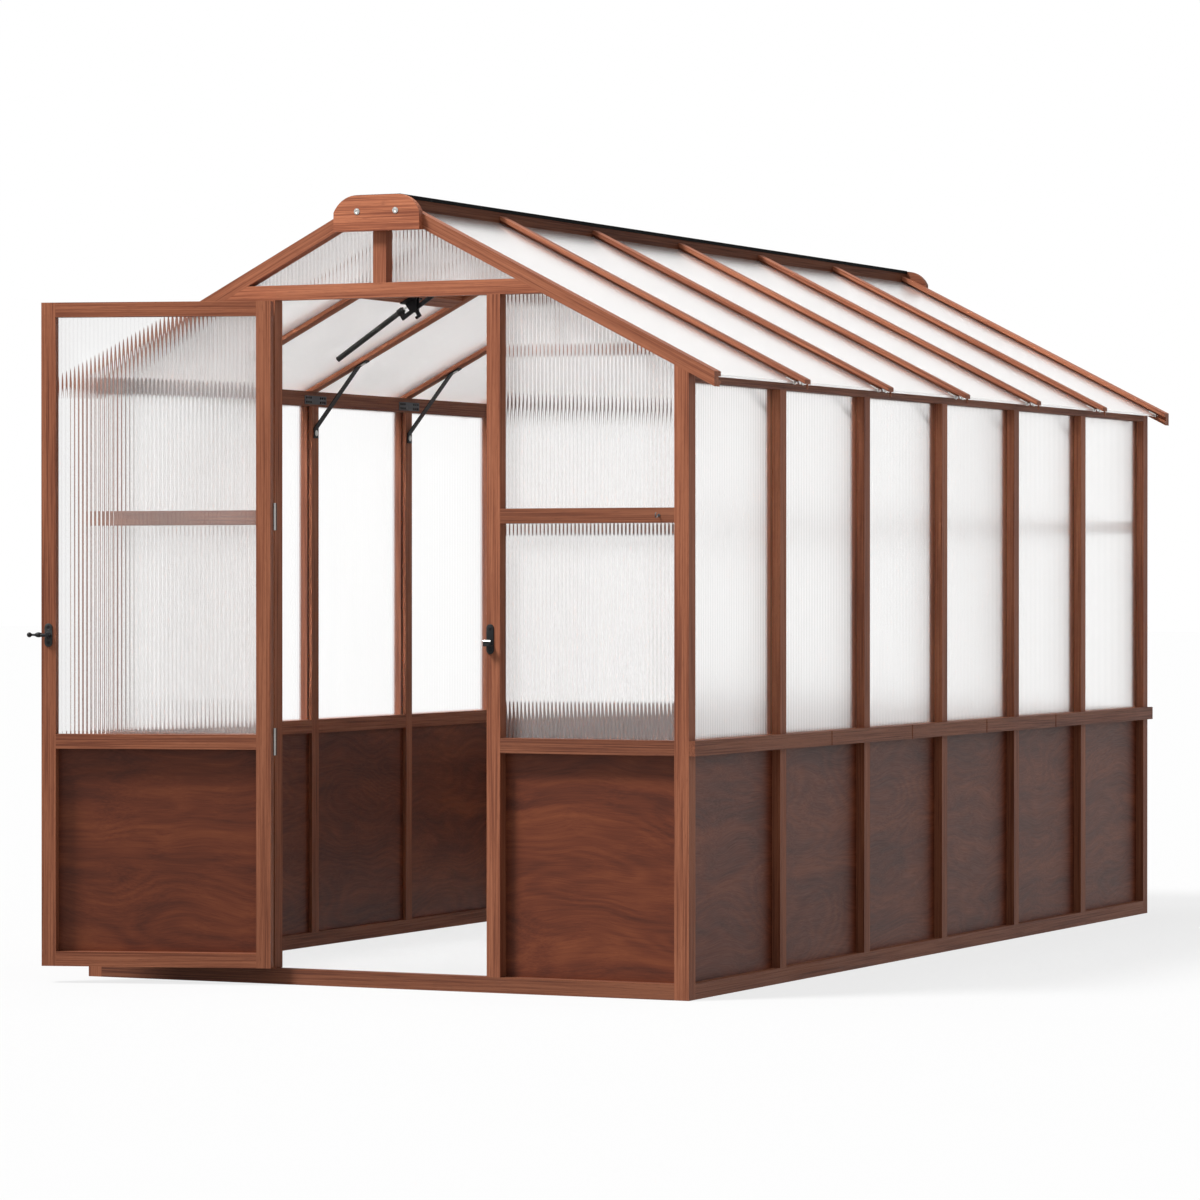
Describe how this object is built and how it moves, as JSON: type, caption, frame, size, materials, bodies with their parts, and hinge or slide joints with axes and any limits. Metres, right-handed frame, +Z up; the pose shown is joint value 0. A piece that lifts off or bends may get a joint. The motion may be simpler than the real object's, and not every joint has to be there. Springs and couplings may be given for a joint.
{
  "type": "wooden greenhouse",
  "caption": "Wooden greenhouse with solid lower boards, twin-wall sheets above, a pitched translucent roof, a hinged glazed door with a turning latch, and a roof vent on an opener.",
  "frame": {"origin": "middle of the front sill's underside, on the ground", "axes": "+Z up, +X to the right of somebody who faces the door, +Y back into the house along the ridge"},
  "size_m": [1.976, 3.9408, 2.14],
  "materials": {
    "frame_wood": "reddish brown stain with fine straight grain",
    "panel_wood": "dark brown boards with a strongly figured grain",
    "wall_sheet": "clear twin-wall polycarbonate with upright flutes",
    "roof_sheet": "white translucent twin-wall polycarbonate",
    "black_metal": "satin black coating",
    "bright_steel": "zinc-plated steel"
  },
  "bodies": {
    "frame": {"cap_rail_left": "frame_wood", "cap_rail_right": "frame_wood", "corner_posts": "frame_wood", "crown_bolts": "bright_steel", "crown_plate_front": "frame_wood", "crown_plate_rear": "frame_wood", "door_hinge_jamb_leaves": "bright_steel", "door_jamb_left": "frame_wood", "door_jamb_right": "frame_wood", "end_panels": "panel_wood", "end_rafters": "frame_wood", "front_glazing": "wall_sheet", "front_rails": "frame_wood", "front_sill": "frame_wood", "glazing_clips": "bright_steel", "king_posts": "frame_wood", "knee_braces": "black_metal", "latch_keeper": "black_metal", "opener_bracket": "black_metal", "rafters_left": "frame_wood", "rafters_right": "frame_wood", "rear_glazing": "wall_sheet", "rear_posts": "frame_wood", "rear_rails": "frame_wood", "rear_sill": "frame_wood", "ridge_beam": "frame_wood", "ridge_boards": "frame_wood", "ridge_cap": "black_metal", "roof_glazing_left": "roof_sheet", "roof_glazing_right": "roof_sheet", "screw_hook": "bright_steel", "side_glazing_left": "wall_sheet", "side_glazing_right": "wall_sheet", "side_panels_left": "panel_wood", "side_panels_right": "panel_wood", "side_sills": "frame_wood", "side_studs_left": "frame_wood", "side_studs_right": "frame_wood", "side_transoms": "frame_wood", "splice_plates": "black_metal", "tie_beam_front": "frame_wood", "tie_beam_rear": "frame_wood", "vent_hinge_ridge_leaves": "bright_steel", "vent_trimmers": "frame_wood", "wall_plate_left": "frame_wood", "wall_plate_right": "frame_wood"},
    "door": {"door_stiles": "frame_wood", "door_rails": "frame_wood", "door_glazing": "wall_sheet", "door_panel": "panel_wood", "door_hinge_door_leaves": "bright_steel", "latch_plates": "black_metal"},
    "latch": {"latch_arm": "black_metal", "latch_knob": "black_metal"},
    "vent": {"vent_sash": "frame_wood", "vent_glazing": "roof_sheet", "vent_hinge_sash_leaves": "bright_steel"},
    "opener_arm": {"opener_lever": "black_metal", "opener_tube": "black_metal"},
    "opener_rod": {"opener_piston_rod": "bright_steel"}
  },
  "joints": [
    {"name": "door_swing", "type": "hinge", "parent": "frame", "child": "door", "pos_m": [-0.321, -0.026, 0.95], "axis": [0, 0, 1], "range_deg": [-8, 162.5]},
    {"name": "latch_turn", "type": "hinge", "parent": "door", "child": "latch", "pos_m": [-0.9108, -0.21721, 0.95], "axis": [-0.3007, 0.9537, 0], "range_deg": [-18, 75]},
    {"name": "vent_swing", "type": "hinge", "parent": "frame", "child": "vent", "pos_m": [-0.0645, 0.9045, 2.12485], "axis": [0, 1, 0], "range_deg": [0, 30]},
    {"name": "opener_swing", "type": "hinge", "parent": "frame", "child": "opener_arm", "pos_m": [-0.378, 0.9045, 1.88522], "axis": [0, -1, 0], "range_deg": [0, 30]},
    {"name": "opener_push", "type": "slide", "parent": "opener_arm", "child": "opener_rod", "axis": [0.8387, 0, 0.5446], "range_m": [0, 0.011]}
  ],
  "couplings": [
    {"joint": "opener_swing", "follows": "vent_swing", "ratio": 1},
    {"joint": "opener_push", "follows": "vent_swing", "m_per_rad": 0.021}
  ]
}
